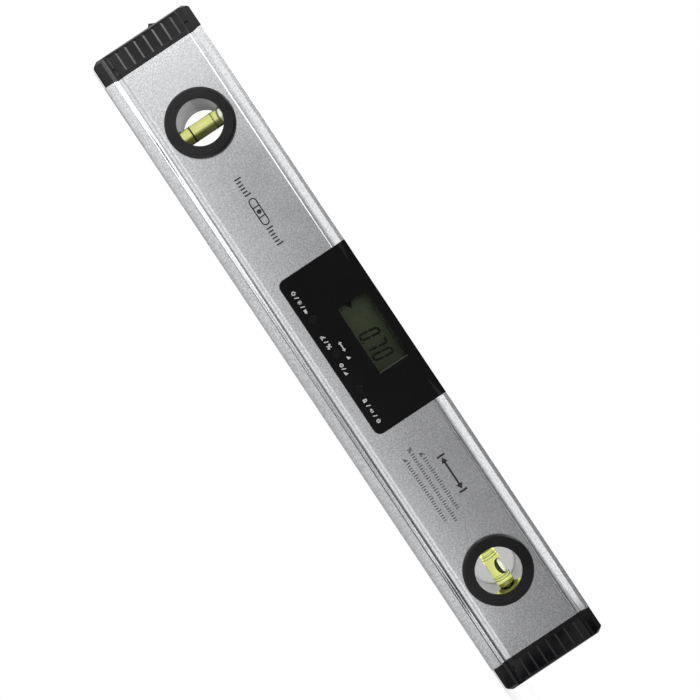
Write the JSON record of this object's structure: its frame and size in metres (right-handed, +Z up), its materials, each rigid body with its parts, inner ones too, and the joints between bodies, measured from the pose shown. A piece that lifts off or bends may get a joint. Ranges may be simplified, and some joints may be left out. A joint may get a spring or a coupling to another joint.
{
  "type": "digital spirit level",
  "caption": "Digital spirit level: hollow aluminium profile with end caps, a plumb vial, a level vial and a display module with push buttons.",
  "frame": {"origin": "middle of the working face along the bottom, halfway along the level and halfway through its thickness", "axes": "+X along the level towards the level vial, -Y towards the front with the display, +Z up"},
  "size_m": [0.4041, 0.028, 0.062],
  "materials": {
    "profile": "satin anodised with a fine grain",
    "cap_black": "fine moulded grain",
    "ring_black": "satin moulded",
    "sleeve_bright": "bright satin",
    "vial_clear": "clear acrylic",
    "vial_plug": "polished",
    "vial_liquid": "yellow-green spirit",
    "vial_air": "air in liquid",
    "vial_line": "printed black line",
    "backing_grey": "even grey, frosted",
    "housing_black": "moulded",
    "fascia_black": "high gloss",
    "key_black": "gloss with a rounded edge",
    "pane_clear": "clear acrylic",
    "lcd": "dark grey-green display",
    "backlight_white": "diffusing",
    "led_white": "moulded lens",
    "zebra": "striped elastomer",
    "board_green": "solder resist",
    "chip_black": "moulded",
    "steel": "nickel plated",
    "cell_wrap": "printed wrap"
  },
  "bodies": {
    "frame": {"backlight": "backlight_white", "backlight_led": "led_white", "battery_bridge": "steel", "battery_cells": "cell_wrap", "battery_contacts": "steel", "board_screws": "steel", "body_profile": "profile", "buzzer": "chip_black", "circuit_board": "board_green", "cover_screws": "steel", "display_bezel": "housing_black", "display_window": "pane_clear", "door_hinge_pin": "steel", "fascia": "fascia_black", "key_switches": "chip_black", "lcd_panel": "lcd", "left_end_cap": "cap_black", "level_backing": "backing_grey", "level_front_ring": "ring_black", "level_rear_ring": "ring_black", "level_sleeve": "sleeve_bright", "level_vial_lines": "vial_line", "level_vial_liquid": "vial_liquid", "level_vial_plugs": "vial_plug", "level_vial_tube": "vial_clear", "microcontroller": "chip_black", "module_housing": "housing_black", "plumb_front_ring": "ring_black", "plumb_rear_ring": "ring_black", "plumb_sleeve": "sleeve_bright", "plumb_vial_lines": "vial_line", "plumb_vial_liquid": "vial_liquid", "plumb_vial_plugs": "vial_plug", "plumb_vial_tube": "vial_clear", "rear_cover": "housing_black", "right_end_cap": "cap_black", "tilt_sensor": "steel", "zebra_strips": "zebra"},
    "battery_door": {"battery_door": "housing_black"},
    "hold_button": {"hold_button": "key_black"},
    "level_bubble": {"level_bubble": "vial_air"},
    "plumb_bubble": {"plumb_bubble": "vial_air"},
    "power_button": {"power_button": "key_black"},
    "unit_button": {"unit_button": "key_black"}
  },
  "joints": [
    {"name": "power_press", "type": "slide", "parent": "frame", "child": "power_button", "axis": [0, 1, 0], "range_m": [0, 0.0006], "stiffness_N_per_m": 1500},
    {"name": "unit_press", "type": "slide", "parent": "frame", "child": "unit_button", "axis": [0, 1, 0], "range_m": [0, 0.0006], "stiffness_N_per_m": 1500},
    {"name": "hold_press", "type": "slide", "parent": "frame", "child": "hold_button", "axis": [0, 1, 0], "range_m": [0, 0.0006], "stiffness_N_per_m": 1500},
    {"name": "battery_door_hinge", "type": "hinge", "parent": "frame", "child": "battery_door", "pos_m": [0, 0.0112, 0.02645], "axis": [-1, 0, 0], "range_deg": [0, 100]},
    {"name": "level_bubble_slide", "type": "slide", "parent": "frame", "child": "level_bubble", "axis": [1, 0, 0], "range_m": [-0.00615, 0.00315], "stiffness_N_per_m": 0.5},
    {"name": "plumb_bubble_slide", "type": "slide", "parent": "frame", "child": "plumb_bubble", "axis": [0, 0, 1], "range_m": [-0.0228, 0], "stiffness_N_per_m": 0.5, "springref_m": 0.01}
  ]
}
